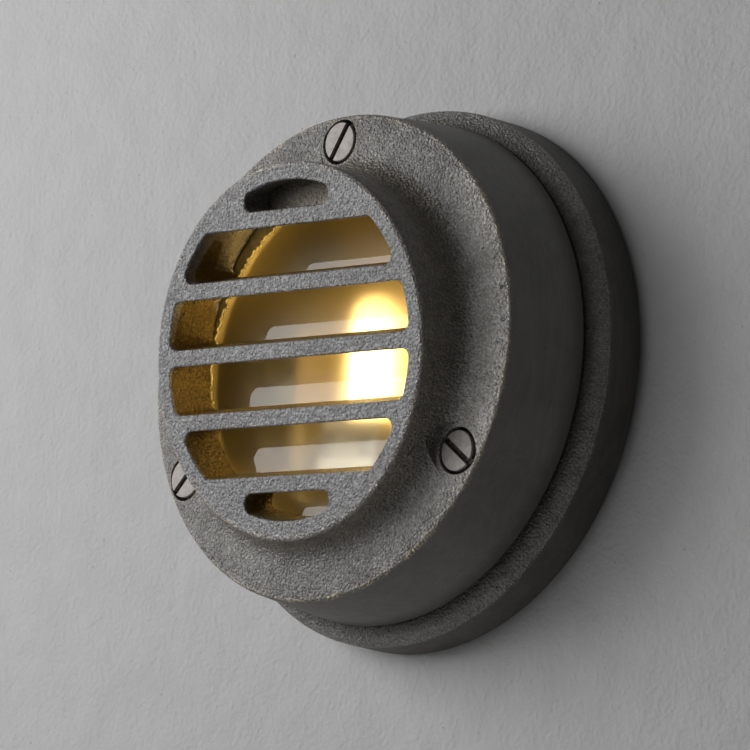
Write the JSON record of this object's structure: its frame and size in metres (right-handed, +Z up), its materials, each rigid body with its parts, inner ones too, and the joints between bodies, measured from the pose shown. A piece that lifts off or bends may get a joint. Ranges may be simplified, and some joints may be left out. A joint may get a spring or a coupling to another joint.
{
  "type": "step light",
  "caption": "Round surface-mounted step light with a louvred face that leans down, a glass lens behind it and a capsule lamp inside.",
  "frame": {"origin": "centre of the back face, in the plane of the wall, half way between the two wall screw holes", "axes": "+Z up, +Y into the wall, the light looks along -Y"},
  "size_m": [0.12, 0.0517, 0.12],
  "materials": {
    "shell_bronze": "rough sand-cast weathered bronze",
    "plate_bronze": "sand-cast weathered bronze, darker",
    "cover_screw_metal": "turned nickel bronze, dulled",
    "gasket_rubber": "black rubber",
    "clear_silicone": "clear silicone, yellowed",
    "washer_fibre": "dark bonded sealing washer",
    "lens_glass": "glossy front, frosted back",
    "lamp_glass": "clear quartz",
    "lamp_tungsten": "drawn wire",
    "holder_ceramic": "glazed ceramic",
    "contact_brass": "turned brass",
    "small_screw_steel": "zinc plated",
    "clamp_steel": "stainless sheet",
    "block_plastic": "dark brown moulded plastic",
    "lead_sleeve": "heat resistant sleeve"
  },
  "bodies": {
    "base": {"base_plate": "plate_bronze", "wall_gasket": "gasket_rubber", "shell_seal": "gasket_rubber", "lamp_holder": "holder_ceramic", "lamp_holder_contacts": "contact_brass", "holder_screws": "small_screw_steel", "terminal_block": "block_plastic", "terminal_inserts": "contact_brass", "terminal_screws": "small_screw_steel", "terminal_block_screw": "small_screw_steel", "lamp_lead_left": "lead_sleeve", "lamp_lead_right": "lead_sleeve", "cable_grommet": "gasket_rubber"},
    "cover": {"front_shell": "shell_bronze", "lens": "lens_glass", "lens_front_gasket": "clear_silicone", "lens_rear_gasket": "clear_silicone", "lens_clamp_ring": "clamp_steel", "clamp_ring_screws": "small_screw_steel"},
    "lamp": {"lamp_capsule": "lamp_glass", "lamp_filament": "lamp_tungsten", "lamp_pins": "lamp_tungsten"},
    "top_washer": {"screw_washer_top": "washer_fibre"},
    "top_screw": {"cover_screw_top": "cover_screw_metal"},
    "right_washer": {"screw_washer_right": "washer_fibre"},
    "right_screw": {"cover_screw_right": "cover_screw_metal"},
    "left_washer": {"screw_washer_left": "washer_fibre"},
    "left_screw": {"cover_screw_left": "cover_screw_metal"}
  },
  "joints": [
    {"name": "cover_off", "type": "slide", "parent": "base", "child": "cover", "axis": [0, -1, 0], "range_m": [0, 0.06]},
    {"name": "top_screw_travel", "type": "slide", "parent": "cover", "child": "top_washer", "axis": [0, -1, 0], "range_m": [0, 0.011]},
    {"name": "top_screw_turn", "type": "hinge", "parent": "top_washer", "child": "top_screw", "pos_m": [-0.00141, -0.0349, 0.04758], "axis": [0, -1, 0], "range_deg": [0, 4950]},
    {"name": "right_screw_travel", "type": "slide", "parent": "cover", "child": "right_washer", "axis": [0, -1, 0], "range_m": [0, 0.011]},
    {"name": "right_screw_turn", "type": "hinge", "parent": "right_washer", "child": "right_screw", "pos_m": [0.04191, -0.0349, -0.02257], "axis": [0, -1, 0], "range_deg": [0, 4950]},
    {"name": "left_screw_travel", "type": "slide", "parent": "cover", "child": "left_washer", "axis": [0, -1, 0], "range_m": [0, 0.011]},
    {"name": "left_screw_turn", "type": "hinge", "parent": "left_washer", "child": "left_screw", "pos_m": [-0.0405, -0.0349, -0.02501], "axis": [0, -1, 0], "range_deg": [0, 4950]},
    {"name": "lamp_out", "type": "slide", "parent": "base", "child": "lamp", "axis": [0, 0, 1], "range_m": [0, 0.008]}
  ],
  "couplings": [
    {"joint": "top_screw_turn", "follows": "top_screw_travel", "rad_per_m": 7854},
    {"joint": "right_screw_turn", "follows": "right_screw_travel", "rad_per_m": 7854},
    {"joint": "left_screw_turn", "follows": "left_screw_travel", "rad_per_m": 7854}
  ]
}
